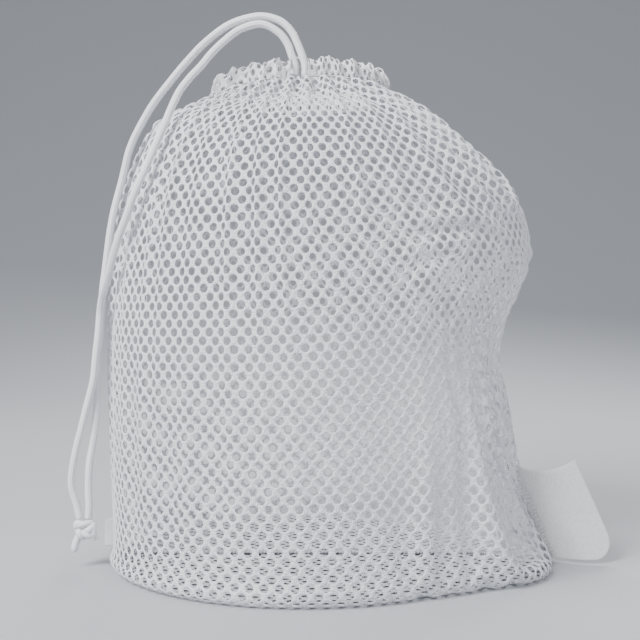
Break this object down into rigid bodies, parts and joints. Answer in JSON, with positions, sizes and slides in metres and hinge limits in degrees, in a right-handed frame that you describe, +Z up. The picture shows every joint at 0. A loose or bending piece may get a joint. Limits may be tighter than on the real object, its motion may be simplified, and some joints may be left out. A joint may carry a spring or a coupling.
{
  "type": "mesh ball bag",
  "caption": "White mesh drawstring bag in its filled shape, gathered at the mouth by a doubled cord that hangs over one shoulder to a knot.",
  "frame": {"origin": "on the floor, at the middle of the bottom seam under the filled bag", "axes": "+Z up through the gathered mouth, +X towards the side seam with the large label, -Y towards the front, where the cord comes out of the channel"},
  "size_m": [0.3223, 0.2242, 0.3242],
  "materials": {
    "mesh": "white knitted polyester mesh, slight sheen",
    "thread": "white overlock and lock-stitch thread",
    "cord": "white braided polyester cord, satin",
    "label": "plain white coated label cloth, matt"
  },
  "bodies": {
    "bag": {"front_panel": "mesh", "back_panel": "mesh", "side_seam_left": "thread", "side_seam_right": "thread", "bottom_seam": "thread", "corner_fold_right": "mesh", "corner_fold_left": "mesh", "label_stitching": "thread", "tag_stitching": "thread"},
    "neck": {"channel_front": "mesh", "channel_back": "mesh", "channel_stitching": "thread", "exit_bartacks": "thread", "drawcord_loop": "cord", "cord_outer_upper": "cord", "cord_inner_upper": "cord"},
    "cord_tail": {"cord_outer_lower": "cord", "cord_inner_lower": "cord", "drawcord_knot": "cord", "cord_stub": "cord", "cord_frayed_end": "cord"},
    "label": {"side_label": "label"},
    "tag": {"side_tag": "label"}
  },
  "joints": [
    {"name": "neck_lift", "type": "slide", "parent": "bag", "child": "neck", "axis": [0, 0, 1], "range_m": [0, 0.02]},
    {"name": "cord_tail_swing", "type": "hinge", "parent": "neck", "child": "cord_tail", "pos_m": [-0.1205, -0.0275, 0.1518], "axis": [0, 1, 0], "range_deg": [0, 75]},
    {"name": "label_swing", "type": "hinge", "parent": "bag", "child": "label", "pos_m": [0.136, -0.007, 0.0305], "axis": [-0.3286, 0.1122, 0.9378], "range_deg": [0, 25]},
    {"name": "tag_swing", "type": "hinge", "parent": "bag", "child": "tag", "pos_m": [-0.1164, 0, 0.0145], "axis": [0, 0, 1], "range_deg": [-40, 40]}
  ]
}
